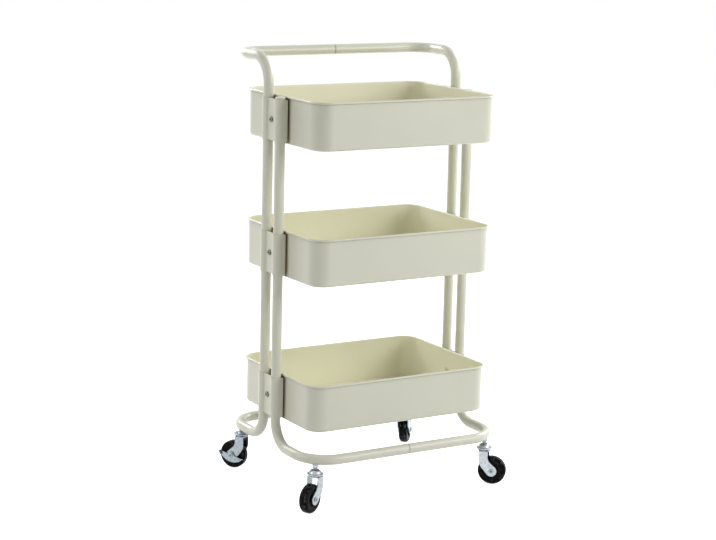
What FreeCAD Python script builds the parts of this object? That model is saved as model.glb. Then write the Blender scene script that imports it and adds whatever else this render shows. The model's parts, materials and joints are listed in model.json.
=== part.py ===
import FreeCAD, Part
import math
import os

# Utility cart: three open sheet-metal trays between bent tube end frames, on four swivel casters.
# Millimetres. X runs along the long side, Y to the handle side, Z up, floor at Z = 0.

V = FreeCAD.Vector
UP = V(0, 0, 1)
ALONG = V(1, 0, 0)
ACROSS = V(0, 1, 0)
MIDDLE = V(0, 0, 0)
os.makedirs("parts", exist_ok=True)

# Trays
TRAY_LENGTH = 410.0            # over the rim
TRAY_WIDTH = 303.0             # over the rim
TRAY_CORNER = 35.0             # plan radius over the rim
TRAY_HEIGHT = 92.5
TRAY_SHEET = 0.8
TRAY_FLOOR_BEND = 6.0          # outside radius between wall and floor
RIM_BEAD = 4.2                 # diameter of the rolled rim
RIM_CURL_END = 110.0           # degrees past level where the roll stops short of the wall
TOP_RIM_BELOW_HANDLE = 70.0    # from the handle's axis
MIDDLE_RIM_Z = 527.0
BOTTOM_RIM_Z = 243.0

# Tubes
TUBE_OD = 20.0
TUBE_WALL = 1.2
UPRIGHT_SPACING = 48.0         # between the two uprights of one end
RIM_TO_TUBE = 0.3
TUBE_JOINT_GAP = 1.5           # visible seam between two tube ends

# Handle, part of the two rear uprights
HANDLE_Z = 856.0
HANDLE_Y = 150.0
HANDLE_RISE_BEND = 50.0
HANDLE_CORNER_BEND = 45.0

# Base bars, part of the lower tubes
BASE_Z = 102.0
BASE_Y = 171.0
BASE_DROP_BEND = 50.0
BASE_CORNER_BEND = 63.0

# Sleeves inside the tube joints
SLEEVE_FIT = 0.1
SLEEVE_WALL = 1.2
BAR_SLEEVE_LENGTH = 60.0
UPRIGHT_SLEEVE_LENGTH = 70.0

# Plugs in the tops of the front uprights
PLUG_TOP_BELOW_RIM = 1.0
PLUG_HEAD = 3.0
PLUG_HEAD_ROUND = 2.0
PLUG_SPIGOT_LENGTH = 12.0
PLUG_FIT = 0.1

# Clamps that hold each pair of uprights to a tray
CLAMP_SHEET = 1.5
CLAMP_HEIGHT = 80.0
CLAMP_BELOW_RIM = 6.0
CLAMP_TUBE_FIT = 0.1
CLAMP_WING_GAP = 4.0           # from the wing's edge to the tray wall
CLAMP_WEB_INSET = 6.0          # web face behind the outermost face of the bulges
CLAMP_WEB_ROUND = 2.0

# Clamp screws and the nuts inside the trays
SCREW_DIA = 6.0
SCREW_HOLE_FIT = 0.15
SCREW_HEAD_DIA = 10.5
SCREW_HEAD_HEIGHT = 3.2
SCREW_HEAD_ROUND = 2.0
SCREW_SOCKET = 4.0             # across flats
SCREW_SOCKET_DEPTH = 2.0
SCREW_END_PAST_NUT = 1.0
THREAD_FIT = 0.1               # nuts on screws, hats and inserts on stems
NUT_FLATS = 10.0
NUT_HEIGHT = 5.0
NUT_FLANGE_DIA = 13.0
NUT_FLANGE = 1.2

# Casters: heights are above the floor, trail runs from the stem to the axle
WHEEL_DIA = 57.0
WHEEL_WIDTH = 18.5
TYRE_SHOULDER = 6.0
CORE_DIA = 36.0
CORE_WIDTH = 17.5
CORE_RIM = 4.0
CORE_WEB = 10.0
CORE_BOSS_DIA = 15.0
CORE_FIT = 0.05
CASTER_TRAIL = 17.0
AXLE_DIA = 6.0
AXLE_FIT = 0.05
AXLE_HEAD_DIA = 9.2
AXLE_HEAD = 1.8
AXLE_HEAD_ROUND = 0.8
FORK_SHEET = 2.0
FORK_INSIDE = 22.0             # between the two legs
FORK_LEG_DEPTH = 18.0          # along the trail, at the top
FORK_TOP_Z = 70.0
FORK_KNEE_Z = 42.0             # where the leading edge turns to the axle
FORK_KNEE_ROUND = 24.0
FORK_ELBOW_Z = 50.0            # where the trailing edge turns to the axle
FORK_ELBOW_ROUND = 16.0
FORK_LOBE_DIA = 22.0
FORK_BEND = 2.5                # outside radius along the fork's top edges
RACE_DIA = 25.0
RACE_HEIGHT = 0.5
BEARING_INNER_DIA = 14.0
BEARING_OUTER_DIA = 27.0
BEARING_HEIGHT = 1.8
HUB_GAP = 0.3                  # wheel boss to fork leg
SWIVEL_GAP = 0.3               # between turning and fixed pieces
HAT_DIA = 32.0
HAT_FLANGE = 2.2
HAT_DOME_DIA = 25.0
HAT_SHOULDER_DIA = 20.5
HAT_SHOULDER_HEIGHT = 5.0      # above the flange
HAT_TOP_DIA = 13.5
HAT_EDGE_ROUND = 0.8
HAT_DOME_HEIGHT = 7.6          # above the flange
STEM_DIA = 8.0
STEM_FIT = 0.06
STEM_HEAD_DIA = 13.0
STEM_HEAD = 1.7
STEM_INTO_TUBE = 11.0
INSERT_DIA = 10.0
INSERT_FLATS = 11.0
INSERT_HEX_HEIGHT = 4.0
INSERT_LENGTH = 10.0           # part inside the tube
INSERT_FIT = 0.1

# Brake rocker on the rear left caster: a boat-shaped plate that tips about the axle
ROCKER_LENGTH = 54.0           # along its straight upper edge
ROCKER_DEPTH = 15.0            # from the upper edge to the lowest point of the arc
ROCKER_SHEET = 1.6
ROCKER_GAP = 0.3
ROCKER_TILT = 15.0             # degrees, trailing ear raised when released
ROCKER_RISE = 1.0              # upper edge above the pivot
ROCKER_BOSS_DIA = 14.0         # round eye at the pivot
ROCKER_EAR_WIDTH = 5.0
ROCKER_EAR_LENGTH = 9.0        # of arc turned out at each ear

# Swivel angles at rest
FRONT_LEFT_TURN = -152.0       # degrees from +X
FRONT_RIGHT_TURN = -43.0       # degrees from +X
REAR_LEFT_TURN = 125.0         # degrees from +X
REAR_RIGHT_TURN = 45.0         # degrees from +X

# How far cutting shapes run past a surface, and how close two places count as the same
OVERSHOOT = 1.0
SAME_PLACE = 1e-3
HEXAGON_SIDES = 6

# Derived places
TOP_RIM_Z = HANDLE_Z - TOP_RIM_BELOW_HANDLE
RIM_OVERHANG = RIM_BEAD - TRAY_SHEET
WALL_X = TRAY_LENGTH / 2 - RIM_OVERHANG
TUBE_R = TUBE_OD / 2
BORE_R = TUBE_R - TUBE_WALL
TUBE_X = TRAY_LENGTH / 2 + RIM_TO_TUBE + TUBE_R
UPRIGHT_Y = UPRIGHT_SPACING / 2
SPLIT_Z = MIDDLE_RIM_Z - CLAMP_BELOW_RIM - CLAMP_HEIGHT / 2
AXLE_Z = WHEEL_DIA / 2
LEG_OUT = FORK_INSIDE / 2 + FORK_SHEET
FORK_UNDER_Z = FORK_TOP_Z - FORK_SHEET
RACE_TOP_Z = FORK_TOP_Z + RACE_HEIGHT
HAT_UNDER_Z = RACE_TOP_Z + BEARING_HEIGHT + SWIVEL_GAP
BASE_UNDER_Z = BASE_Z - TUBE_R
BEND_MIDDLE = BASE_CORNER_BEND * math.sqrt(0.5)
STEM_X = TUBE_X - BASE_CORNER_BEND + BEND_MIDDLE
STEM_Y = BASE_Y - BASE_CORNER_BEND + BEND_MIDDLE


def save(node, shape):
    """Write one named piece."""
    shape.exportStep("parts/" + node + ".step")


def cylinder(radius, low, high, x=0.0, y=0.0):
    """Upright cylinder between two heights."""
    return Part.makeCylinder(radius, high - low, V(x, y, low), UP)


def pipe(outer_r, inner_r, start, end):
    """Straight tube between two points."""
    axis = end.sub(start)
    outer = Part.makeCylinder(outer_r, axis.Length, start, axis)
    inner = Part.makeCylinder(inner_r, axis.Length, start, axis)
    return outer.cut(inner)


def turned(profile):
    """Solid of revolution about Z from (radius, height) points."""
    points = [V(r, 0, z) for r, z in profile]
    face = Part.Face(Part.makePolygon(points + [points[0]]))
    return face.revolve(MIDDLE, UP, 360)


def level_edges(shape, z):
    """Edges that lie wholly at one height."""
    picked = []
    for edge in shape.Edges:
        box = edge.BoundBox
        if abs(box.ZMin - z) < SAME_PLACE and abs(box.ZMax - z) < SAME_PLACE:
            picked.append(edge)
    return picked


def hexagon(flats, low, high):
    """Upright hexagonal prism."""
    step = 2 * math.pi / HEXAGON_SIDES
    corner = flats / 2 / math.cos(step / 2)
    points = []
    for i in range(HEXAGON_SIDES + 1):
        angle = step * i
        points.append(V(corner * math.cos(angle), corner * math.sin(angle), low))
    return Part.Face(Part.makePolygon(points)).extrude(V(0, 0, high - low))


def rounded_rectangle(length, width, radius, z):
    """Closed wire with rounded corners that starts in the middle of the front side."""
    a = length / 2
    b = width / 2
    c = radius * (1 - math.sqrt(0.5))
    edges = [Part.makeLine(V(0, -b, z), V(a - radius, -b, z))]
    corners = [
        (V(a - radius, -b, z), V(a - c, c - b, z), V(a, radius - b, z)),
        (V(a, b - radius, z), V(a - c, b - c, z), V(a - radius, b, z)),
        (V(radius - a, b, z), V(c - a, b - c, z), V(-a, b - radius, z)),
        (V(-a, radius - b, z), V(c - a, c - b, z), V(radius - a, -b, z)),
    ]
    for i, (start, middle, end) in enumerate(corners):
        edges.append(Part.Arc(start, middle, end).toShape())
        following = corners[i + 1][0] if i + 1 < len(corners) else V(0, -b, z)
        edges.append(Part.makeLine(end, following))
    return Part.Wire(edges)


def rounded_block(length, width, radius, low, high, floor_round):
    """Block with rounded plan corners and a rounded lower edge."""
    face = Part.Face(rounded_rectangle(length, width, radius, low))
    block = face.extrude(V(0, 0, high - low))
    return block.makeFillet(floor_round, level_edges(block, low))


def rolled_rim(length, width, radius, top):
    """Open outward roll along the top of a wall; sizes are those of the wall's inside face."""
    outer = RIM_BEAD / 2
    inner = outer - TRAY_SHEET
    centre_y = -width / 2 - outer
    centre_z = top - outer

    def at(r, degrees):
        angle = math.radians(degrees)
        return V(0, centre_y - r * math.cos(angle), centre_z + r * math.sin(angle))

    end = -RIM_CURL_END
    half = (180 + end) / 2
    outer_arc = Part.Arc(at(outer, 180), at(outer, half), at(outer, end)).toShape()
    step = Part.makeLine(at(outer, end), at(inner, end))
    inner_arc = Part.Arc(at(inner, end), at(inner, half), at(inner, 180)).toShape()
    close = Part.makeLine(at(inner, 180), at(outer, 180))
    section = Part.Wire([outer_arc, step, inner_arc, close])
    path = rounded_rectangle(length, width, radius, centre_z)
    return path.makePipeShell([section], True, False)


def make_tray(rim_top):
    """Open tray: floor, walls, rolled rim and a screw hole in each end wall."""
    floor = rim_top - TRAY_HEIGHT
    wall_top = rim_top - RIM_BEAD / 2
    length = 2 * WALL_X
    width = TRAY_WIDTH - 2 * RIM_OVERHANG
    corner = TRAY_CORNER - RIM_OVERHANG
    inside = (length - 2 * TRAY_SHEET, width - 2 * TRAY_SHEET, corner - TRAY_SHEET)
    outer = rounded_block(length, width, corner, floor, wall_top, TRAY_FLOOR_BEND)
    inner_bend = TRAY_FLOOR_BEND - TRAY_SHEET
    inner = rounded_block(*inside, floor + TRAY_SHEET, wall_top, inner_bend)
    shell = outer.cut(inner)
    hole_r = SCREW_DIA / 2 + SCREW_HOLE_FIT
    hole_start = V(-WALL_X - OVERSHOOT, 0, clamp_middle(rim_top))
    hole = Part.makeCylinder(hole_r, length + 2 * OVERSHOOT, hole_start, ALONG)
    return shell.fuse(rolled_rim(*inside, rim_top)).removeSplitter().cut(hole)


def clamp_middle(rim_top):
    """Height of a clamp's screw."""
    return rim_top - CLAMP_BELOW_RIM - CLAMP_HEIGHT / 2


def bend_path(points, bends):
    """Wire along straight runs with a round bend at each inner point."""
    edges = []
    last = points[0]
    for i, radius in enumerate(bends):
        corner = points[i + 1]
        back = points[i].sub(corner).normalize()
        ahead = points[i + 2].sub(corner).normalize()
        half = back.getAngle(ahead) / 2
        reach = radius / math.tan(half)
        enter = corner + back * reach
        leave = corner + ahead * reach
        middle = corner + (back + ahead).normalize() * (radius / math.sin(half) - radius)
        edges.append(Part.makeLine(last, enter))
        edges.append(Part.Arc(enter, middle, leave).toShape())
        last = leave
    edges.append(Part.makeLine(last, points[-1]))
    return Part.Wire(edges)


def bent_tube(points, bends):
    """Hollow round tube along a bent path."""
    path = bend_path(points, bends)
    start = points[0]
    direction = points[1].sub(start)
    swept = []
    for radius in (TUBE_R, BORE_R):
        ring = Part.Wire(Part.makeCircle(radius, start, direction))
        swept.append(path.makePipeShell([ring], True, False))
    return swept[0].cut(swept[1])


def lower_tube(side, end):
    """Lower upright and half a base bar; side is -1 left or 1 right, end -1 front or 1 rear."""
    x = side * TUBE_X
    points = [
        V(x, end * UPRIGHT_Y, SPLIT_Z - TUBE_JOINT_GAP / 2),
        V(x, end * UPRIGHT_Y, BASE_Z),
        V(x, end * BASE_Y, BASE_Z),
        V(side * TUBE_JOINT_GAP / 2, end * BASE_Y, BASE_Z),
    ]
    tube = bent_tube(points, [BASE_DROP_BEND, BASE_CORNER_BEND])
    hole_r = INSERT_DIA / 2 + INSERT_FIT
    hole = cylinder(hole_r, BASE_UNDER_Z - OVERSHOOT, BASE_Z, side * STEM_X, end * STEM_Y)
    return tube.cut(hole)


def upper_rear_tube(side):
    """Upper rear upright and half the handle."""
    x = side * TUBE_X
    points = [
        V(x, UPRIGHT_Y, SPLIT_Z + TUBE_JOINT_GAP / 2),
        V(x, UPRIGHT_Y, HANDLE_Z),
        V(x, HANDLE_Y, HANDLE_Z),
        V(side * TUBE_JOINT_GAP / 2, HANDLE_Y, HANDLE_Z),
    ]
    return bent_tube(points, [HANDLE_RISE_BEND, HANDLE_CORNER_BEND])


def upper_front_tube(side):
    """Straight upper front upright."""
    low = V(side * TUBE_X, -UPRIGHT_Y, SPLIT_Z + TUBE_JOINT_GAP / 2)
    high = V(side * TUBE_X, -UPRIGHT_Y, TOP_RIM_Z - PLUG_TOP_BELOW_RIM - PLUG_HEAD)
    return pipe(TUBE_R, BORE_R, low, high)


def sleeve(middle, direction, length):
    """Short inner tube across a joint."""
    half = direction * (length / 2)
    outer = BORE_R - SLEEVE_FIT
    return pipe(outer, outer - SLEEVE_WALL, middle.sub(half), middle.add(half))


def tube_plug(side):
    """Rounded plug in the top of a front upright."""
    top = TOP_RIM_Z - PLUG_TOP_BELOW_RIM
    x = side * TUBE_X
    head = cylinder(TUBE_R, top - PLUG_HEAD, top, x, -UPRIGHT_Y)
    head = head.makeFillet(PLUG_HEAD_ROUND, level_edges(head, top))
    spigot_top = top - PLUG_HEAD
    spigot_low = spigot_top - PLUG_SPIGOT_LENGTH
    return head.fuse(cylinder(BORE_R - PLUG_FIT, spigot_low, spigot_top, x, -UPRIGHT_Y))


def make_clamp(rim_top):
    """Right-hand clamp: two bulges round the uprights, wings towards the wall, and a web between."""
    low = rim_top - CLAMP_BELOW_RIM - CLAMP_HEIGHT
    high = rim_top - CLAMP_BELOW_RIM
    inner = TUBE_R + CLAMP_TUBE_FIT
    outer = inner + CLAMP_SHEET
    edge = WALL_X + CLAMP_WING_GAP
    web_out = TUBE_X + outer - CLAMP_WEB_INSET
    web_in = web_out - CLAMP_SHEET
    body = Part.makeBox(CLAMP_SHEET, UPRIGHT_SPACING, CLAMP_HEIGHT, V(web_in, -UPRIGHT_Y, low))
    for end in (-1, 1):
        y = end * UPRIGHT_Y
        half = Part.makeBox(outer, 2 * outer, CLAMP_HEIGHT, V(TUBE_X, y - outer, low))
        body = body.fuse(cylinder(outer, low, high, TUBE_X, y).common(half))
        wing_y = y + inner if end > 0 else y - outer
        wing = Part.makeBox(TUBE_X - edge, CLAMP_SHEET, CLAMP_HEIGHT, V(edge, wing_y, low))
        body = body.fuse(wing)
    for end in (-1, 1):
        body = body.cut(cylinder(inner, low, high, TUBE_X, end * UPRIGHT_Y))
    behind = Part.makeBox(web_in - edge, UPRIGHT_SPACING, CLAMP_HEIGHT, V(edge, -UPRIGHT_Y, low))
    body = body.cut(behind).removeSplitter()
    seats = []
    for line in body.Edges:
        box = line.BoundBox
        full_height = box.ZLength > CLAMP_HEIGHT - SAME_PLACE
        if full_height and abs(box.XMin - web_out) < SAME_PLACE and box.XLength < SAME_PLACE:
            seats.append(line)
    body = body.makeFillet(CLAMP_WEB_ROUND, seats)
    hole_r = SCREW_DIA / 2 + SCREW_HOLE_FIT
    hole_start = V(web_in - OVERSHOOT, 0, clamp_middle(rim_top))
    return body.cut(Part.makeCylinder(hole_r, CLAMP_SHEET + 2 * OVERSHOOT, hole_start, ALONG))


def clamp_web_face():
    """Outer face of the clamp's web, where the screw head sits."""
    return TUBE_X + TUBE_R + CLAMP_TUBE_FIT + CLAMP_SHEET - CLAMP_WEB_INSET


def along_x(shape, x, z):
    """Stand an upright piece along +X with its base at x."""
    piece = shape.copy()
    piece.rotate(MIDDLE, ACROSS, 90)
    piece.translate(V(x, 0, z))
    return piece


def clamp_screw(rim_top):
    """Right-hand button-head screw with a hexagon socket."""
    nut_end = WALL_X - TRAY_SHEET - NUT_FLANGE - NUT_HEIGHT - SCREW_END_PAST_NUT
    shank = clamp_web_face() - nut_end
    top = shank + SCREW_HEAD_HEIGHT
    head = cylinder(SCREW_HEAD_DIA / 2, shank, top)
    head = head.makeFillet(SCREW_HEAD_ROUND, level_edges(head, top))
    head = head.cut(hexagon(SCREW_SOCKET, top - SCREW_SOCKET_DEPTH, top + OVERSHOOT))
    screw = head.fuse(cylinder(SCREW_DIA / 2, 0, shank))
    return along_x(screw, nut_end, clamp_middle(rim_top))


def clamp_nut(rim_top):
    """Right-hand flange nut against the inside of the end wall."""
    height = NUT_HEIGHT + NUT_FLANGE
    body = hexagon(NUT_FLATS, 0, NUT_HEIGHT)
    body = body.fuse(cylinder(NUT_FLANGE_DIA / 2, NUT_HEIGHT, height)).removeSplitter()
    body = body.cut(cylinder(SCREW_DIA / 2 + THREAD_FIT, -OVERSHOOT, height + OVERSHOOT))
    return along_x(body, WALL_X - TRAY_SHEET - height, clamp_middle(rim_top))


def both_ends(shape):
    """The right-hand piece and its left-hand twin, half a turn round Z."""
    twin = shape.copy()
    twin.rotate(MIDDLE, UP, 180)
    return [twin, shape]


def fork_leg():
    """Side outline of a fork leg, trail along +X, in the plane Y = 0."""
    half = FORK_LEG_DEPTH / 2
    lobe = FORK_LOBE_DIA / 2
    knee = V(-half, 0, FORK_KNEE_Z)
    elbow = V(half, 0, FORK_ELBOW_Z)
    axle = V(CASTER_TRAIL, 0, AXLE_Z)

    def tangent(point, sense):
        reach = axle.sub(point)
        base = math.atan2(reach.z, reach.x)
        swing = sense * math.acos(lobe / reach.Length)
        angle = base + math.pi + swing
        return V(axle.x + lobe * math.cos(angle), 0, axle.z + lobe * math.sin(angle))

    low = tangent(knee, 1)
    high = tangent(elbow, -1)
    spread = math.atan2(high.z - axle.z, high.x - axle.x)
    sweep = (math.atan2(low.z - axle.z, low.x - axle.x) + spread) / 2
    far = V(axle.x + lobe * math.cos(sweep), 0, axle.z + lobe * math.sin(sweep))
    edges = [
        Part.makeLine(V(half, 0, FORK_TOP_Z), V(-half, 0, FORK_TOP_Z)),
        Part.makeLine(V(-half, 0, FORK_TOP_Z), knee),
        Part.makeLine(knee, low),
        Part.Arc(low, far, high).toShape(),
        Part.makeLine(high, elbow),
        Part.makeLine(elbow, V(half, 0, FORK_TOP_Z)),
    ]
    return Part.Face(Part.Wire(edges))


def make_fork():
    """Pressed fork: two legs, a bridge and a raised race round the stem hole."""
    width = 2 * LEG_OUT
    blank = fork_leg().extrude(V(0, width, 0))
    blank.translate(V(0, -LEG_OUT, 0))
    crests = [e for e in level_edges(blank, FORK_TOP_Z) if e.BoundBox.YLength < SAME_PLACE]
    blank = blank.makeFillet(FORK_BEND, crests)
    blank = blank.makeFillet(FORK_KNEE_ROUND, level_edges(blank, FORK_KNEE_Z))
    blank = blank.makeFillet(FORK_ELBOW_ROUND, level_edges(blank, FORK_ELBOW_Z))
    reach = CASTER_TRAIL + FORK_LOBE_DIA
    slot = Part.makeBox(2 * reach, FORK_INSIDE, FORK_UNDER_Z, V(-reach, -FORK_INSIDE / 2, 0))
    fork = blank.cut(slot)
    fork = fork.fuse(cylinder(RACE_DIA / 2, FORK_UNDER_Z, RACE_TOP_Z)).removeSplitter()
    stem_low = FORK_UNDER_Z - OVERSHOOT
    fork = fork.cut(cylinder(STEM_DIA / 2 + STEM_FIT, stem_low, RACE_TOP_Z + OVERSHOOT))
    bore_start = V(CASTER_TRAIL, -LEG_OUT - OVERSHOOT, AXLE_Z)
    return fork.cut(Part.makeCylinder(AXLE_DIA / 2 + AXLE_FIT, width + 2 * OVERSHOOT, bore_start, ACROSS))


def on_axle(shape):
    """Lay an upright turned piece along Y with its middle on the axle."""
    piece = shape.copy()
    piece.rotate(MIDDLE, ALONG, -90)
    piece.translate(V(CASTER_TRAIL, 0, AXLE_Z))
    return piece


def make_axle(left_end, right_end):
    """Riveted axle between two outer faces, measured along Y from the middle."""
    axle = cylinder(AXLE_DIA / 2, left_end, right_end)
    for face, tip in ((left_end, left_end - AXLE_HEAD), (right_end, right_end + AXLE_HEAD)):
        head = cylinder(AXLE_HEAD_DIA / 2, min(face, tip), max(face, tip))
        axle = axle.fuse(head.makeFillet(AXLE_HEAD_ROUND, level_edges(head, tip)))
    return on_axle(axle.removeSplitter())


def make_core():
    """Wheel core: rim, web and a boss that runs on the axle."""
    boss = FORK_INSIDE / 2 - HUB_GAP
    bore = AXLE_DIA / 2 + AXLE_FIT
    ring = CORE_DIA / 2 - CORE_RIM
    right = [
        (bore, boss),
        (CORE_BOSS_DIA / 2, boss),
        (CORE_BOSS_DIA / 2, CORE_WEB / 2),
        (ring, CORE_WEB / 2),
        (ring, CORE_WIDTH / 2),
        (CORE_DIA / 2, CORE_WIDTH / 2),
    ]
    left = [(r, -z) for r, z in reversed(right)]
    return on_axle(turned(right + left))


def make_tyre():
    """Solid tyre with rounded shoulders."""
    half = WHEEL_WIDTH / 2
    tyre = cylinder(WHEEL_DIA / 2, -half, half)
    tyre = tyre.makeFillet(TYRE_SHOULDER, level_edges(tyre, -half) + level_edges(tyre, half))
    return on_axle(tyre.cut(cylinder(CORE_DIA / 2 + CORE_FIT, -half - OVERSHOOT, half + OVERSHOOT)))


def make_stem():
    """Stem: riveted head under the fork, shank through the hat and into the base tube."""
    head_top = FORK_UNDER_Z - SWIVEL_GAP
    shank = cylinder(STEM_DIA / 2, head_top - STEM_HEAD, BASE_UNDER_Z + STEM_INTO_TUBE)
    return shank.fuse(cylinder(STEM_HEAD_DIA / 2, head_top - STEM_HEAD, head_top)).removeSplitter()


def make_hat():
    """Fixed upper race: a thin flange with a domed centre."""
    flange_top = HAT_UNDER_Z + HAT_FLANGE
    top = flange_top + HAT_DOME_HEIGHT
    foot = V(HAT_DOME_DIA / 2, 0, flange_top)
    shoulder = V(HAT_SHOULDER_DIA / 2, 0, flange_top + HAT_SHOULDER_HEIGHT)
    crown = V(HAT_TOP_DIA / 2, 0, top)
    outline = [Part.makeLine(V(0, 0, flange_top), foot), Part.Arc(foot, shoulder, crown).toShape()]
    outline.append(Part.makeLine(crown, V(0, 0, top)))
    outline.append(Part.makeLine(V(0, 0, top), V(0, 0, flange_top)))
    dome = Part.Face(Part.Wire(outline)).revolve(MIDDLE, UP, 360)
    hat = cylinder(HAT_DIA / 2, HAT_UNDER_Z, flange_top)
    hat = hat.makeFillet(HAT_EDGE_ROUND, level_edges(hat, flange_top)).fuse(dome)
    bore = cylinder(STEM_DIA / 2 + THREAD_FIT, HAT_UNDER_Z - OVERSHOOT, top + OVERSHOOT)
    return hat.removeSplitter().cut(bore)


def make_bearing():
    """Ring that the fork turns on."""
    ring = cylinder(BEARING_OUTER_DIA / 2, RACE_TOP_Z, RACE_TOP_Z + BEARING_HEIGHT)
    return ring.cut(cylinder(BEARING_INNER_DIA / 2, RACE_TOP_Z - OVERSHOOT, HAT_UNDER_Z))


def make_insert():
    """Threaded insert in the base tube with a hexagon under the tube."""
    low = BASE_UNDER_Z - INSERT_HEX_HEIGHT
    high = BASE_UNDER_Z + INSERT_LENGTH
    body = hexagon(INSERT_FLATS, low, BASE_UNDER_Z)
    body = body.fuse(cylinder(INSERT_DIA / 2, BASE_UNDER_Z, high))
    bore = cylinder(STEM_DIA / 2 + THREAD_FIT, low - OVERSHOOT, high + OVERSHOOT)
    return body.removeSplitter().cut(bore)


def make_rocker():
    """Boat-shaped brake rocker outside the fork leg on +Y, with an ear turned out at each end."""
    half = ROCKER_LENGTH / 2
    radius = (half * half + ROCKER_DEPTH * ROCKER_DEPTH) / (2 * ROCKER_DEPTH)
    bottom = ROCKER_RISE - ROCKER_DEPTH
    centre_y = bottom + radius
    low = LEG_OUT + ROCKER_GAP
    high = low + ROCKER_SHEET
    ear_high = high + ROCKER_EAR_WIDTH
    boat = Part.makeBox(ROCKER_LENGTH, ROCKER_DEPTH, ROCKER_SHEET, V(-half, bottom, low))
    plate = cylinder(radius, low, high, 0, centre_y).common(boat)
    band = cylinder(radius, low, ear_high, 0, centre_y)
    band = band.cut(cylinder(radius - ROCKER_SHEET, low - OVERSHOOT, ear_high + OVERSHOOT, 0, centre_y))
    span = math.degrees(ROCKER_EAR_LENGTH / radius)
    reach = math.degrees(math.asin(half / radius))
    lowest = -90                   # direction of the arc's lowest point
    for start in (lowest - reach, lowest + reach - span):
        sector = Part.makeCylinder(2 * radius, ear_high - low, V(0, centre_y, low), UP, span)
        sector.rotate(V(0, centre_y, 0), UP, start)
        plate = plate.fuse(band.common(sector))
    plate = plate.fuse(cylinder(ROCKER_BOSS_DIA / 2, low, high)).removeSplitter()
    plate = plate.cut(cylinder(AXLE_DIA / 2 + AXLE_FIT, low - OVERSHOOT, high + OVERSHOOT))
    plate.rotate(MIDDLE, UP, ROCKER_TILT)
    plate.rotate(MIDDLE, ALONG, 90)
    plate = plate.mirror(MIDDLE, ACROSS)
    plate.translate(V(CASTER_TRAIL, 0, AXLE_Z))
    return plate


def place(shape, turn, side, end):
    """Put a caster piece under its base corner at its swivel angle."""
    piece = shape.copy()
    piece.rotate(MIDDLE, UP, turn)
    piece.translate(V(side * STEM_X, end * STEM_Y, 0))
    return piece


RIMS = {"top": TOP_RIM_Z, "middle": MIDDLE_RIM_Z, "bottom": BOTTOM_RIM_Z}
SIDES = {"left": -1, "right": 1}
ENDS = {"front": -1, "rear": 1}

# Trays, clamps and their fasteners
screws = []
nuts = []
for level, rim_top in RIMS.items():
    save("tray_" + level, make_tray(rim_top))
    for side_name, clamp in zip(SIDES, both_ends(make_clamp(rim_top))):
        save("clamp_" + level + "_" + side_name, clamp)
    screws += both_ends(clamp_screw(rim_top))
    nuts += both_ends(clamp_nut(rim_top))
save("clamp_screws", Part.Compound(screws))
save("clamp_nuts", Part.Compound(nuts))

# Tubes, plugs and sleeves
sleeves = []
for side_name, side in SIDES.items():
    save("upper_front_tube_" + side_name, upper_front_tube(side))
    save("upper_rear_tube_" + side_name, upper_rear_tube(side))
    save("tube_plug_" + side_name, tube_plug(side))
    for end_name, end in ENDS.items():
        save("lower_" + end_name + "_tube_" + side_name, lower_tube(side, end))
        sleeves.append(sleeve(V(side * TUBE_X, end * UPRIGHT_Y, SPLIT_Z), UP, UPRIGHT_SLEEVE_LENGTH))
save("upright_sleeves", Part.Compound(sleeves))
save("handle_sleeve", sleeve(V(0, HANDLE_Y, HANDLE_Z), ALONG, BAR_SLEEVE_LENGTH))
save("front_base_sleeve", sleeve(V(0, -BASE_Y, BASE_Z), ALONG, BAR_SLEEVE_LENGTH))
save("rear_base_sleeve", sleeve(V(0, BASE_Y, BASE_Z), ALONG, BAR_SLEEVE_LENGTH))

# Casters
TURNS = {
    ("front", "left"): FRONT_LEFT_TURN,
    ("front", "right"): FRONT_RIGHT_TURN,
    ("rear", "left"): REAR_LEFT_TURN,
    ("rear", "right"): REAR_RIGHT_TURN,
}
BRAKED = [("rear", "left")]
inserts = []
for (end_name, side_name), turn in TURNS.items():
    side = SIDES[side_name]
    end = ENDS[end_name]
    name = end_name + "_" + side_name
    braked = (end_name, side_name) in BRAKED
    brake_room = ROCKER_SHEET + 2 * ROCKER_GAP if braked else 0
    pieces = {
        "stem_": make_stem(),
        "hat_": make_hat(),
        "bearing_": make_bearing(),
        "fork_": make_fork(),
        "axle_": make_axle(-LEG_OUT, LEG_OUT + brake_room),
        "wheel_core_": make_core(),
        "tyre_": make_tyre(),
    }
    if braked:
        pieces["brake_rocker_"] = make_rocker()
    for prefix, shape in pieces.items():
        save(prefix + name, place(shape, turn, side, end))
    inserts.append(place(make_insert(), 0, side, end))
save("stem_inserts", Part.Compound(inserts))
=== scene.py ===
import json
import math

import bmesh
import bpy
from mathutils import Matrix, Vector


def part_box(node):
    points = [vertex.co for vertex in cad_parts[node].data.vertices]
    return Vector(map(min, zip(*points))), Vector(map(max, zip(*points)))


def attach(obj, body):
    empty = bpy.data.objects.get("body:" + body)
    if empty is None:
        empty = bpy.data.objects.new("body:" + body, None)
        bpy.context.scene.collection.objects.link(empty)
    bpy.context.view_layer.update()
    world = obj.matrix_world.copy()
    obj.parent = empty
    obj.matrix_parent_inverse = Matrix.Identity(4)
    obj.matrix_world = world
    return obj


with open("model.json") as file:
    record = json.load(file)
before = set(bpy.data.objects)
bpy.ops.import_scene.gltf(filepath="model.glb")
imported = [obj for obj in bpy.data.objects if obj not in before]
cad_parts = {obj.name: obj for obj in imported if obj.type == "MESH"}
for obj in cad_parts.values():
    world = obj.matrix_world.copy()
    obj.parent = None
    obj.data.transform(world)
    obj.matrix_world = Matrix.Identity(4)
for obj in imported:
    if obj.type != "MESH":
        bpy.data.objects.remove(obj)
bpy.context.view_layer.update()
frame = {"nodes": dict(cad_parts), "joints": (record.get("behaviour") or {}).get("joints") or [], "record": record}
nodes = frame["nodes"]
joints = {joint["name"]: joint for joint in frame["joints"]}

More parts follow.
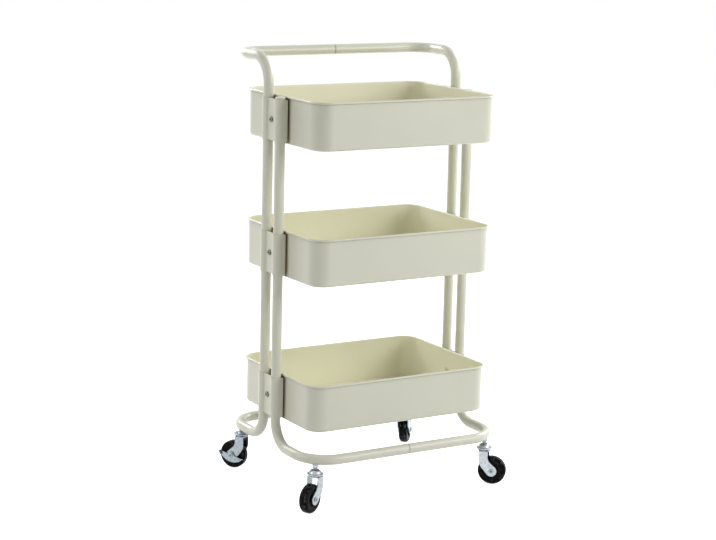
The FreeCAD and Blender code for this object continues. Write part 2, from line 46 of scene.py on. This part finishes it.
# Camera: picture size, focal length and principal point in pixels, angles in radians, place in metres
IMAGE_WIDTH = 716
IMAGE_HEIGHT = 540
FOCAL = 1911.20
CENTRE_X = 357.37
CENTRE_Y = 269.30
YAW = 0.54303
PITCH = 0.19841
ROLL = 0.02458
CAMERA_PLACE = (-1.95328, -3.20087, 1.18264)
SENSOR_WIDTH = 36.0

# Lamps: place in metres, width and height in metres, power in watts; all point at one place
LIGHT_AIM = (0, 0, 0.45)
LAMPS = {
    "key": ((1.65, -2.25, 1.6), (2.2, 1.4), 49),
    "left": ((-2.5, 0.5, 1.35), (1.4, 1.4), 17.5),
    "right": ((2.6, 0.5, 1.8), (1.4, 1.4), 45),
    "back": ((-0.6, 2.6, 1.9), (1.4, 1.4), 53),
    "top": ((0, -0.2, 2.7), (2.2, 2.2), 5.5),
}

# Floor size in metres, white added to the floor where it is seen, and strength of the world as a light
FLOOR_SIZE = 12.0
FLOOR_LIFT = 0.90
WORLD_LIGHT = 0.22

# Colours, linear
CREAM = (0.69, 0.695, 0.575)
# Painted light: a lighter, warmer cream inside the trays stands in for light bounced between their walls
PAINTED_BOUNCE_CREAM = (0.795, 0.78, 0.605)
# Painted shade: paint turns to this brown in its crevices and under its rims, where shade falls
PAINTED_SHADE_BROWN = (0.20, 0.125, 0.005)
PLUG_CREAM = (0.74, 0.74, 0.63)
ZINC = (0.44, 0.48, 0.51)
# Painted shade: a darker, bluer copy of the zinc for the braked caster, which stands in shade
SHADED_BLUE_ZINC = (0.31, 0.355, 0.39)
# Painted shade: screws and axles turn to this grey in their crevices
PAINTED_SHADE_GREY = (0.05, 0.05, 0.055)
# Painted shade: zinc turns to this blue-grey in its crevices and under the hats
PAINTED_SHADE_BLUE = (0.06, 0.075, 0.095)
# Partly painted shade: the screw heads' dark grey also stands in for the shade in their hex sockets
SCREW_WITH_SOCKET_SHADE = (0.19, 0.19, 0.165)
# Painted light: the screw ends inside the trays are a light cream, lighter than plated metal shows there
PAINTED_LIGHT_SCREW_END = (0.80, 0.79, 0.70)
# Partly painted shade: the bearing ring is dark as greased metal and as the shadowed gap between hat and fork
BEARING_SHADE_GREY = (0.04, 0.04, 0.042)
HOLLOW_SHADE_GREY = (0.03, 0.045, 0.05)
BLACK_PLASTIC = (0.003, 0.003, 0.0035)
BLACK_RUBBER = (0.0015, 0.0015, 0.002)
# Painted highlights: grey glints in patches on the black tyres
GLINT_GREY = (0.04, 0.04, 0.043)
# Painted highlights: the tyre ribs show lighter grey glints in patches
RIB_GLINT_GREY = (0.16, 0.16, 0.165)
FLOOR = (0.74, 0.74, 0.74)

# Darkest and lightest share of each colour
PAINT_TONES = (0.97, 1.02)
PLUG_TONES = (0.96, 1.0)
ZINC_TONES = (0.72, 1.12)
SCREW_TONES = (0.8, 1.1)
SCREW_END_TONES = (0.9, 1.0)
CORE_TONES = (1.0, 1.8)
BEARING_TONES = (0.7, 1.3)
AXLE_TONE = 0.75

# Limits of roughness
PAINT_ROUGHNESS = (0.30, 0.39)
PLUG_ROUGHNESS = (0.26, 0.36)
ZINC_ROUGHNESS = (0.24, 0.38)
SCREW_ROUGHNESS = (0.25, 0.4)
RUBBER_ROUGHNESS = (0.22, 0.4)
CORE_ROUGHNESS = (0.38, 0.55)
AXLE_ROUGHNESS = (0.24, 0.4)
BEARING_ROUGHNESS = (0.34, 0.5)

# Specular level, where it isn't the shader's own
PAINT_GLOSS = 0.62
RUBBER_GLOSS = 0.05
CORE_GLOSS = 0.08

# Texture sizes in metres, and the squeeze of the screws' grain along X
PAINT_CLOUD = 0.16
PAINT_PATCH = PAINT_CLOUD / 6
PAINT_PEEL = 0.0016
PLUG_MOTTLE = 0.004
ZINC_GRAIN = 0.004
ZINC_FINE = ZINC_GRAIN / 3
SCREW_GRAIN = 0.0015
SCREW_STRETCH = (6, 1, 1)
RUBBER_GRAIN = 0.0008
RUBBER_GLINT_PATCH = 0.007
CORE_MOTTLE = 0.009

# Levels of detail of the textures, and the part of their range that is used
PLAIN_DETAIL = 2.0
CLOUD_DETAIL = 3.0
PEEL_DETAIL = 1.0
ZINC_DETAIL = 4.0
SCREW_DETAIL = 3.0
NOISE_RANGE = (0.3, 0.7)
GLINT_RANGE = (0.5, 0.7)

# Bump: depth in metres and strength
PEEL_BUMP = (0.00006, 0.35)
ZINC_BUMP = (0.00008, 0.3)
RUBBER_BUMP = (0.00005, 0.25)
CORE_BUMP = (0.00006, 0.3)

# Painted shade in crevices: samples, reach in metres, and the openness at which the painted shade is darkest and
# at which it ends
SHADE_SAMPLES = 8
SHADE_REACH = 0.010
ZINC_SHADE_REACH = 0.018
PLAIN_SHADE_LIMITS = (0.15, 0.7)
PAINT_SHADE_LIMITS = (0.2, 0.9)
ZINC_SHADE_LIMITS = (0.1, 0.85)

# Painted shade of the hollow in the axle ends: its radius, and the radius where the rivet has its full tone, in
# metres
HOLLOW_RADIUS = 0.0018
AXLE_RADIUS = 0.0030

# Tray plan in metres: centre of each rounded corner, the corner's radius to the middle of the sheet, and
# half the width of the change to the painted light colour there
TRAY_CORE = (0.170, 0.1165, 0)
TRAY_SHEET_RADIUS = 0.0312
SHEET_EDGE = 0.0001

# Upward part of a face's normal: below the first the face looks down, above the second it doesn't
UNDER_RANGE = (-0.3, -0.1)

# Tyre section in metres: radius and half width of the flat tread, and radius of the shoulders beside it
TYRE_RADIUS = 0.0285
TREAD_HALF_WIDTH = 0.00325
SHOULDER_RADIUS = 0.006

# Raised ribs round the shoulders, and the thread of the caster stems, in metres and steps per turn
RIB_ANGLE = math.radians(21)
RIB_WIDTH = 0.0018
RIB_HEIGHT = 0.00022
RIB_STEPS = 96
STEM_RADIUS = 0.004
THREAD_PITCH = 0.00125
THREAD_WIDTH = 0.0010
THREAD_HEIGHT = 0.0004
THREAD_STEPS = 32

# Section of these ridges, in shares of height and width; its two ends lie under the surface
RIDGE_SECTION = ((-1, -0.5), (0.4, -0.4), (1, -0.15), (1, 0.15), (0.4, 0.4), (-1, 0.5))

SMOOTH_ANGLE = math.radians(32)
CORNERS = ("front_left", "front_right", "rear_left", "rear_right")
LEVELS = ("top", "middle", "bottom")
BRAKED_CASTER = ("hat_rear_left", "fork_rear_left", "brake_rocker_rear_left")


def shade(colour, factor):
    """A colour made darker or lighter."""
    return tuple(channel * factor for channel in colour)


class Shader:
    """A material with one principled shader, and short ways to add nodes to it."""

    def __init__(self, name, metallic=0.0):
        self.material = bpy.data.materials.new(name)
        self.material.use_nodes = True
        self.tree = self.material.node_tree
        self.shader = self.tree.nodes["Principled BSDF"]
        self.set("Metallic", metallic)

    def set(self, socket, value):
        self.shader.inputs[socket].default_value = value

    def drive(self, socket, output):
        self.link(output, self.shader.inputs[socket])

    def add(self, kind, **settings):
        node = self.tree.nodes.new(kind)
        for key, value in settings.items():
            setattr(node, key, value)
        return node

    def link(self, source, target):
        self.tree.links.new(source, target)

    def vector(self, operation, source, value=None):
        """One step of vector arithmetic."""
        node = self.add("ShaderNodeVectorMath", operation=operation)
        self.link(source, node.inputs[0])
        if value is not None:
            node.inputs[1].default_value = value
        return node.outputs["Value" if operation == "LENGTH" else "Vector"]

    def place(self, offset=(0, 0, 0), rotation=(0, 0, 0), stretch=(1, 1, 1)):
        """Piece coordinates seen from a place and direction; they move with the piece."""
        coordinates = self.add("ShaderNodeTexCoord").outputs["Object"]
        turn = self.add("ShaderNodeVectorRotate", rotation_type="EULER_XYZ", invert=True)
        turn.inputs["Rotation"].default_value = rotation
        self.link(self.vector("SUBTRACT", coordinates, offset), turn.inputs["Vector"])
        return self.vector("MULTIPLY", turn.outputs["Vector"], stretch)

    def from_axis(self, place):
        """Distance from the Z axis."""
        return self.vector("LENGTH", self.vector("MULTIPLY", place, (1, 1, 0)))

    def noise(self, place, size, detail=PLAIN_DETAIL):
        node = self.add("ShaderNodeTexNoise")
        node.inputs["Scale"].default_value = 1.0 / size
        node.inputs["Detail"].default_value = detail
        self.link(place, node.inputs["Vector"])
        return node.outputs["Fac"]

    def spread(self, value, result, limits=NOISE_RANGE):
        """Map a value between limits onto a result between two others."""
        node = self.add("ShaderNodeMapRange")
        node.inputs["From Min"].default_value, node.inputs["From Max"].default_value = limits
        node.inputs["To Min"].default_value, node.inputs["To Max"].default_value = result
        self.link(value, node.inputs["Value"])
        return node.outputs["Result"]

    def ramp(self, value, low, high, limits=NOISE_RANGE):
        """Blend between two colours by a value between limits."""
        node = self.add("ShaderNodeValToRGB")
        for element, position, colour in zip(node.color_ramp.elements, limits, (low, high)):
            element.position = position
            element.color = (*colour, 1.0)
        self.link(value, node.inputs["Fac"])
        return node.outputs["Color"]

    def tones(self, value, colour, shares):
        """Vary a colour between two shares of itself by a texture."""
        return self.ramp(value, shade(colour, shares[0]), shade(colour, shares[1]))

    def blend(self, factor, first, second):
        """Mix two colour outputs by a factor output."""
        mix = self.add("ShaderNodeMix", data_type="RGBA")
        self.link(factor, mix.inputs["Factor"])
        self.link(first, mix.inputs["A"])
        self.link(second, mix.inputs["B"])
        return mix.outputs["Result"]

    def shade_crevices(self, colour, painted_tone, reach=SHADE_REACH, limits=PLAIN_SHADE_LIMITS):
        """Painted shade: let a colour turn into a darker one where surfaces stand close together."""
        near = self.add("ShaderNodeAmbientOcclusion", samples=SHADE_SAMPLES)
        near.inputs["Distance"].default_value = reach
        mix = self.add("ShaderNodeMix", data_type="RGBA")
        mix.inputs["A"].default_value = (*painted_tone, 1.0)
        self.link(self.spread(near.outputs["AO"], (0.0, 1.0), limits), mix.inputs["Factor"])
        self.link(colour, mix.inputs["B"])
        return mix.outputs["Result"]

    def rough(self, value, limits):
        """Vary the roughness by a texture."""
        self.drive("Roughness", self.spread(value, limits))

    def bump(self, height, depth_and_strength):
        """Raise the surface slightly by a texture."""
        node = self.add("ShaderNodeBump")
        node.inputs["Distance"].default_value, node.inputs["Strength"].default_value = depth_and_strength
        self.link(height, node.inputs["Height"])
        self.drive("Normal", node.outputs["Normal"])


def tray_light_mask(shader, place):
    """Mask for painted light: 1 on faces within a tray's plan that don't look down, 0 elsewhere."""
    corner = shader.vector("SUBTRACT", shader.vector("ABSOLUTE", place), TRAY_CORE)
    radius = shader.from_axis(shader.vector("MAXIMUM", corner, (0, 0, 0)))
    edge = (TRAY_SHEET_RADIUS - SHEET_EDGE, TRAY_SHEET_RADIUS + SHEET_EDGE)
    facing = shader.add("ShaderNodeSeparateXYZ")
    shader.link(shader.add("ShaderNodeNewGeometry").outputs["Normal"], facing.inputs[0])
    both = shader.add("ShaderNodeMath", operation="MULTIPLY")
    shader.link(shader.spread(radius, (1.0, 0.0), edge), both.inputs[0])
    shader.link(shader.spread(facing.outputs["Z"], (0.0, 1.0), UNDER_RANGE), both.inputs[1])
    return both.outputs[0]


def paint_material(name, colour, paints_tray_light=False, has_painted_shade=True):
    """Satin powder coat with a faint peel and slow changes of tone, with painted light inside a tray: a lighter,
    warmer cream standing in for light bounced between its walls.
    """
    paint = Shader(name)
    paint.set("Specular IOR Level", PAINT_GLOSS)
    here = paint.place()
    cloud = paint.noise(here, PAINT_CLOUD, CLOUD_DETAIL)
    tone = paint.tones(cloud, colour, PAINT_TONES)
    if paints_tray_light:
        painted_tone = paint.tones(cloud, PAINTED_BOUNCE_CREAM, PAINT_TONES)
        tone = paint.blend(tray_light_mask(paint, here), tone, painted_tone)
    if has_painted_shade:
        # Painted shade: the paint turns brown where surfaces stand close together
        tone = paint.shade_crevices(tone, PAINTED_SHADE_BROWN, limits=PAINT_SHADE_LIMITS)
    paint.drive("Base Color", tone)
    paint.rough(paint.noise(here, PAINT_PATCH), PAINT_ROUGHNESS)
    paint.bump(paint.noise(here, PAINT_PEEL, PEEL_DETAIL), PEEL_BUMP)
    return paint.material


def plug_material():
    """Smooth moulded plastic with a slight mottle."""
    plug = Shader("cream_plug_plastic")
    mottle = plug.noise(plug.place(), PLUG_MOTTLE)
    plug.drive("Base Color", plug.tones(mottle, PLUG_CREAM, PLUG_TONES))
    plug.rough(mottle, PLUG_ROUGHNESS)
    return plug.material


def zinc_material(name, colour):
    """Zinc plate with fine grain, slight changes of tone, and painted shade in its crevices and joints."""
    zinc = Shader(name, metallic=1.0)
    here = zinc.place()
    grain = zinc.noise(here, ZINC_GRAIN, ZINC_DETAIL)
    tone = zinc.tones(grain, colour, ZINC_TONES)
    zinc.drive("Base Color", zinc.shade_crevices(tone, PAINTED_SHADE_BLUE, ZINC_SHADE_REACH, ZINC_SHADE_LIMITS))
    zinc.rough(zinc.noise(here, ZINC_FINE), ZINC_ROUGHNESS)
    zinc.bump(grain, ZINC_BUMP)
    return zinc.material


def screw_material():
    """Plated screw with a fine turned grain, painted shade in its crevices, and painted light on its end inside a
    tray.
    """
    screw = Shader("plated_screw", metallic=1.0)
    grain = screw.noise(screw.place(stretch=SCREW_STRETCH), SCREW_GRAIN, SCREW_DETAIL)
    tone = screw.shade_crevices(screw.tones(grain, SCREW_WITH_SOCKET_SHADE, SCREW_TONES), PAINTED_SHADE_GREY)
    painted_end_tone = screw.tones(grain, PAINTED_LIGHT_SCREW_END, SCREW_END_TONES)
    screw.drive("Base Color", screw.blend(tray_light_mask(screw, screw.place()), tone, painted_end_tone))
    screw.rough(grain, SCREW_ROUGHNESS)
    return screw.material


def wheel_place(shader, corner):
    """Coordinates with Z along the wheel's axle and the wheel's middle at the origin."""
    joint = joints["roll_" + corner]
    aim = Vector(joint["axis"]).to_track_quat("Z", "Y").to_euler()
    return shader.place(joint["pos_m"], tuple(aim))


def rubber_material(name, corner, glint_colour):
    """Black tyre rubber with painted glints in patches and a fine grain."""
    rubber = Shader(name + corner)
    rubber.set("Specular IOR Level", RUBBER_GLOSS)
    here = wheel_place(rubber, corner)
    glints = rubber.noise(here, RUBBER_GLINT_PATCH)
    rubber.drive("Base Color", rubber.ramp(glints, BLACK_RUBBER, glint_colour, GLINT_RANGE))
    rubber.rough(glints, RUBBER_ROUGHNESS)
    rubber.bump(rubber.noise(here, RUBBER_GRAIN), RUBBER_BUMP)
    return rubber.material


def core_material(corner):
    """Moulded black plastic with a fine satin grain."""
    core = Shader("black_core_" + corner)
    core.set("Specular IOR Level", CORE_GLOSS)
    here = wheel_place(core, corner)
    fine = core.noise(here, RUBBER_GRAIN)
    core.drive("Base Color", core.tones(core.noise(here, CORE_MOTTLE), BLACK_PLASTIC, CORE_TONES))
    core.rough(fine, CORE_ROUGHNESS)
    core.bump(fine, CORE_BUMP)
    return core.material


def axle_material(corner):
    """Zinc rivet with painted shade for a hollow in the middle of each end, and painted shade in its crevices."""
    axle = Shader("zinc_axle_" + corner, metallic=1.0)
    radius = axle.from_axis(wheel_place(axle, corner))
    tone = axle.ramp(radius, HOLLOW_SHADE_GREY, shade(ZINC, AXLE_TONE), (HOLLOW_RADIUS, AXLE_RADIUS))
    axle.drive("Base Color", axle.shade_crevices(tone, PAINTED_SHADE_GREY))
    axle.rough(axle.noise(axle.place(), ZINC_FINE), AXLE_ROUGHNESS)
    return axle.material


def bearing_material():
    """Greased ring with a fine grain, its dark colour partly painted shade of the gap between hat and fork."""
    ring = Shader("bearing_painted_shade", metallic=1.0)
    grain = ring.noise(ring.place(), RUBBER_GRAIN)
    ring.drive("Base Color", ring.tones(grain, BEARING_SHADE_GREY, BEARING_TONES))
    ring.rough(grain, BEARING_ROUGHNESS)
    return ring.material


def smooth(mesh):
    """Smooth shading between sharp edges."""
    for polygon in mesh.polygons:
        polygon.use_smooth = True
    mesh.set_sharp_from_angle(angle=SMOOTH_ANGLE)


# Materials of the CAD nodes
slots = {part["node"]: part["material_slot"] for part in frame["record"]["subparts"]}
finishes = {
    "cream_paint": paint_material("cream_powder_coat", CREAM),
    "cream_plastic": plug_material(),
    "zinc_steel": zinc_material("bright_zinc", ZINC),
    "screw_steel": screw_material(),
}
looks = {node: finishes[slot] for node, slot in slots.items() if slot in finishes}
# Painted light: the weld nuts inside the trays take the painted bounce cream, with no painted shade
looks["clamp_nuts"] = paint_material("cream_nut_coat_painted_light", PAINTED_BOUNCE_CREAM, has_painted_shade=False)
tube_paint = paint_material("cream_tube_coat", CREAM, has_painted_shade=False)
looks.update({node: tube_paint for node in slots if "_tube_" in node})
tray_paint = paint_material("cream_tray_coat_painted_light", CREAM, paints_tray_light=True)
looks.update({"tray_" + level: tray_paint for level in LEVELS})
# Painted shade: the braked caster gets the darker, bluer zinc
shaded_blue_zinc = zinc_material("shaded_blue_zinc", SHADED_BLUE_ZINC)
looks.update({node: shaded_blue_zinc for node in BRAKED_CASTER})
bearing = bearing_material()
for corner in CORNERS:
    looks["bearing_" + corner] = bearing
    looks["tyre_" + corner] = rubber_material("black_rubber_", corner, GLINT_GREY)
    looks["wheel_core_" + corner] = core_material(corner)
    looks["axle_" + corner] = axle_material(corner)
for node, material in looks.items():
    mesh = nodes[node].data
    mesh.materials.clear()
    mesh.materials.append(material)
    smooth(mesh)


def swept(stations, width, height, closed):
    """Low ridge with a rounded top, carried along stations of (place, outward, sideways)."""
    points = []
    for place, outward, sideways in stations:
        for rise, across in RIDGE_SECTION:
            points.append(place + outward * (rise * height) + sideways * (across * width))
    size = len(RIDGE_SECTION)
    count = len(stations)
    faces = []
    for i in range(count if closed else count - 1):
        here = i * size
        ahead = (i + 1) % count * size
        for k in range(size):
            following = (k + 1) % size
            faces.append((here + k, here + following, ahead + following, ahead + k))
    if not closed:
        faces.append(tuple(reversed(range(size))))
        faces.append(tuple(range((count - 1) * size, count * size)))
    return points, faces


def add_piece(name, parts, body, material):
    """One smooth-shaded piece from lists of points and faces, riding on a body."""
    points = []
    faces = []
    for part_points, part_faces in parts:
        start = len(points)
        points += part_points
        faces += [tuple(start + i for i in face) for face in part_faces]
    mesh = bpy.data.meshes.new(name)
    mesh.from_pydata(points, [], faces)
    mesh.materials.append(material)
    shell = bmesh.new()
    shell.from_mesh(mesh)
    bmesh.ops.recalc_face_normals(shell, faces=shell.faces)
    shell.to_mesh(mesh)
    shell.free()
    smooth(mesh)
    piece = bpy.data.objects.new(name, mesh)
    bpy.context.scene.collection.objects.link(piece)
    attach(piece, body)


def tyre_rib(corner, side):
    """Ring on one shoulder of a tyre."""
    joint = joints["roll_" + corner]
    axle = Vector(joint["axis"])
    across = axle.orthogonal().normalized()
    over = axle.cross(across)
    offset = side * (TREAD_HALF_WIDTH + SHOULDER_RADIUS * math.sin(RIB_ANGLE))
    radius = TYRE_RADIUS - SHOULDER_RADIUS * (1 - math.cos(RIB_ANGLE))
    stations = []
    for i in range(RIB_STEPS):
        angle = 2 * math.pi * i / RIB_STEPS
        spoke = math.cos(angle) * across + math.sin(angle) * over
        outward = math.cos(RIB_ANGLE) * spoke + side * math.sin(RIB_ANGLE) * axle
        sideways = math.cos(RIB_ANGLE) * axle - side * math.sin(RIB_ANGLE) * spoke
        stations.append((Vector(joint["pos_m"]) + offset * axle + radius * spoke, outward, sideways))
    return swept(stations, RIB_WIDTH, RIB_HEIGHT, True)


def stem_thread(corner):
    """Helical ridge on the bare part of a caster stem, between hat and hexagon."""
    centre = Vector(joints["swivel_" + corner]["pos_m"])
    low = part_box("hat_" + corner)[1][2] + THREAD_WIDTH / 2
    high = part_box("stem_inserts")[0][2] - THREAD_WIDTH / 2
    count = int((high - low) / THREAD_PITCH * THREAD_STEPS)
    stations = []
    for i in range(count + 1):
        angle = 2 * math.pi * i / THREAD_STEPS
        outward = Vector((math.cos(angle), math.sin(angle), 0))
        height = low + (high - low) * i / count
        place = Vector((centre.x, centre.y, height)) + STEM_RADIUS * outward
        stations.append((place, outward, Vector((0, 0, 1))))
    return swept(stations, THREAD_WIDTH, THREAD_HEIGHT, False)


# Small raised detail on the casters
zinc = finishes["zinc_steel"]
for corner in CORNERS:
    ribs = [tyre_rib(corner, side) for side in (-1, 1)]
    # Painted highlights: lighter glints on the tyre ribs
    rib_rubber = rubber_material("rib_glint_", corner, RIB_GLINT_GREY)
    add_piece("tyre_ribs_" + corner, ribs, "wheel_" + corner, rib_rubber)
    add_piece("stem_thread_" + corner, [stem_thread(corner)], "frame", zinc)


def seen_directly(tree):
    """1 for rays that carry the picture (camera, glossy, transmission), 0 for rays that only light."""
    path = tree.nodes.new("ShaderNodeLightPath")
    seen = path.outputs["Is Camera Ray"]
    for kind in ("Is Glossy Ray", "Is Transmission Ray"):
        either = tree.nodes.new("ShaderNodeMath")
        either.operation = "MAXIMUM"
        tree.links.new(seen, either.inputs[0])
        tree.links.new(path.outputs[kind], either.inputs[1])
        seen = either.outputs[0]
    return seen


def floor_material():
    """Pale floor that shows white to the camera and keeps the object's shadow."""
    material = bpy.data.materials.new("pale_floor")
    material.use_nodes = True
    tree = material.node_tree
    tree.nodes.clear()
    out = tree.nodes.new("ShaderNodeOutputMaterial")
    surface = tree.nodes.new("ShaderNodeBsdfDiffuse")
    surface.inputs["Color"].default_value = (*FLOOR, 1.0)
    lift = tree.nodes.new("ShaderNodeEmission")
    amount = tree.nodes.new("ShaderNodeMath")
    amount.operation = "MULTIPLY"
    amount.inputs[1].default_value = FLOOR_LIFT
    tree.links.new(seen_directly(tree), amount.inputs[0])
    tree.links.new(amount.outputs[0], lift.inputs["Strength"])
    both = tree.nodes.new("ShaderNodeAddShader")
    tree.links.new(surface.outputs[0], both.inputs[0])
    tree.links.new(lift.outputs[0], both.inputs[1])
    tree.links.new(both.outputs[0], out.inputs["Surface"])
    return material


def studio_world():
    """White surroundings where they are seen, and a weaker even light."""
    world = bpy.data.worlds.new("studio")
    world.use_nodes = True
    tree = world.node_tree
    background = tree.nodes["Background"]
    background.inputs["Color"].default_value = (1, 1, 1, 1)
    strength = tree.nodes.new("ShaderNodeMapRange")
    strength.inputs["To Min"].default_value = WORLD_LIGHT
    strength.inputs["To Max"].default_value = 1.0
    tree.links.new(seen_directly(tree), strength.inputs["Value"])
    tree.links.new(strength.outputs["Result"], background.inputs["Strength"])
    return world


def softbox(name, place, size, power):
    """Rectangular area lamp that points at the middle of the object."""
    lamp = bpy.data.lights.new(name, "AREA")
    lamp.shape = "RECTANGLE"
    lamp.size, lamp.size_y = size
    lamp.energy = power
    holder = bpy.data.objects.new(name, lamp)
    bpy.context.scene.collection.objects.link(holder)
    holder.location = place
    holder.rotation_euler = (Vector(LIGHT_AIM) - Vector(place)).to_track_quat("-Z", "Y").to_euler()


# Floor, background and lamps
bpy.ops.mesh.primitive_plane_add(size=FLOOR_SIZE)
floor = bpy.context.object
floor.name = "floor"
floor.data.materials.append(floor_material())
bpy.context.scene.world = studio_world()
for name, (place, size, power) in LAMPS.items():
    softbox(name, place, size, power)

# Camera at the photograph's viewing angle
forward = Vector((math.sin(YAW) * math.cos(PITCH), math.cos(YAW) * math.cos(PITCH), -math.sin(PITCH)))
level_right = Vector((math.cos(YAW), -math.sin(YAW), 0))
level_up = level_right.cross(forward)
right = math.cos(ROLL) * level_right + math.sin(ROLL) * level_up
up = math.cos(ROLL) * level_up - math.sin(ROLL) * level_right
lens = bpy.data.cameras.new("camera")
lens.sensor_fit = "HORIZONTAL"
lens.sensor_width = SENSOR_WIDTH
lens.lens = FOCAL / IMAGE_WIDTH * SENSOR_WIDTH
lens.shift_x = (IMAGE_WIDTH / 2 - CENTRE_X) / IMAGE_WIDTH
lens.shift_y = (CENTRE_Y - IMAGE_HEIGHT / 2) / IMAGE_WIDTH
camera = bpy.data.objects.new("camera", lens)
bpy.context.scene.collection.objects.link(camera)
turn = Matrix((right, up, -forward)).transposed().to_4x4()
camera.matrix_world = Matrix.Translation(CAMERA_PLACE) @ turn
bpy.context.scene.camera = camera

bpy.context.scene.view_settings.view_transform = "Standard"
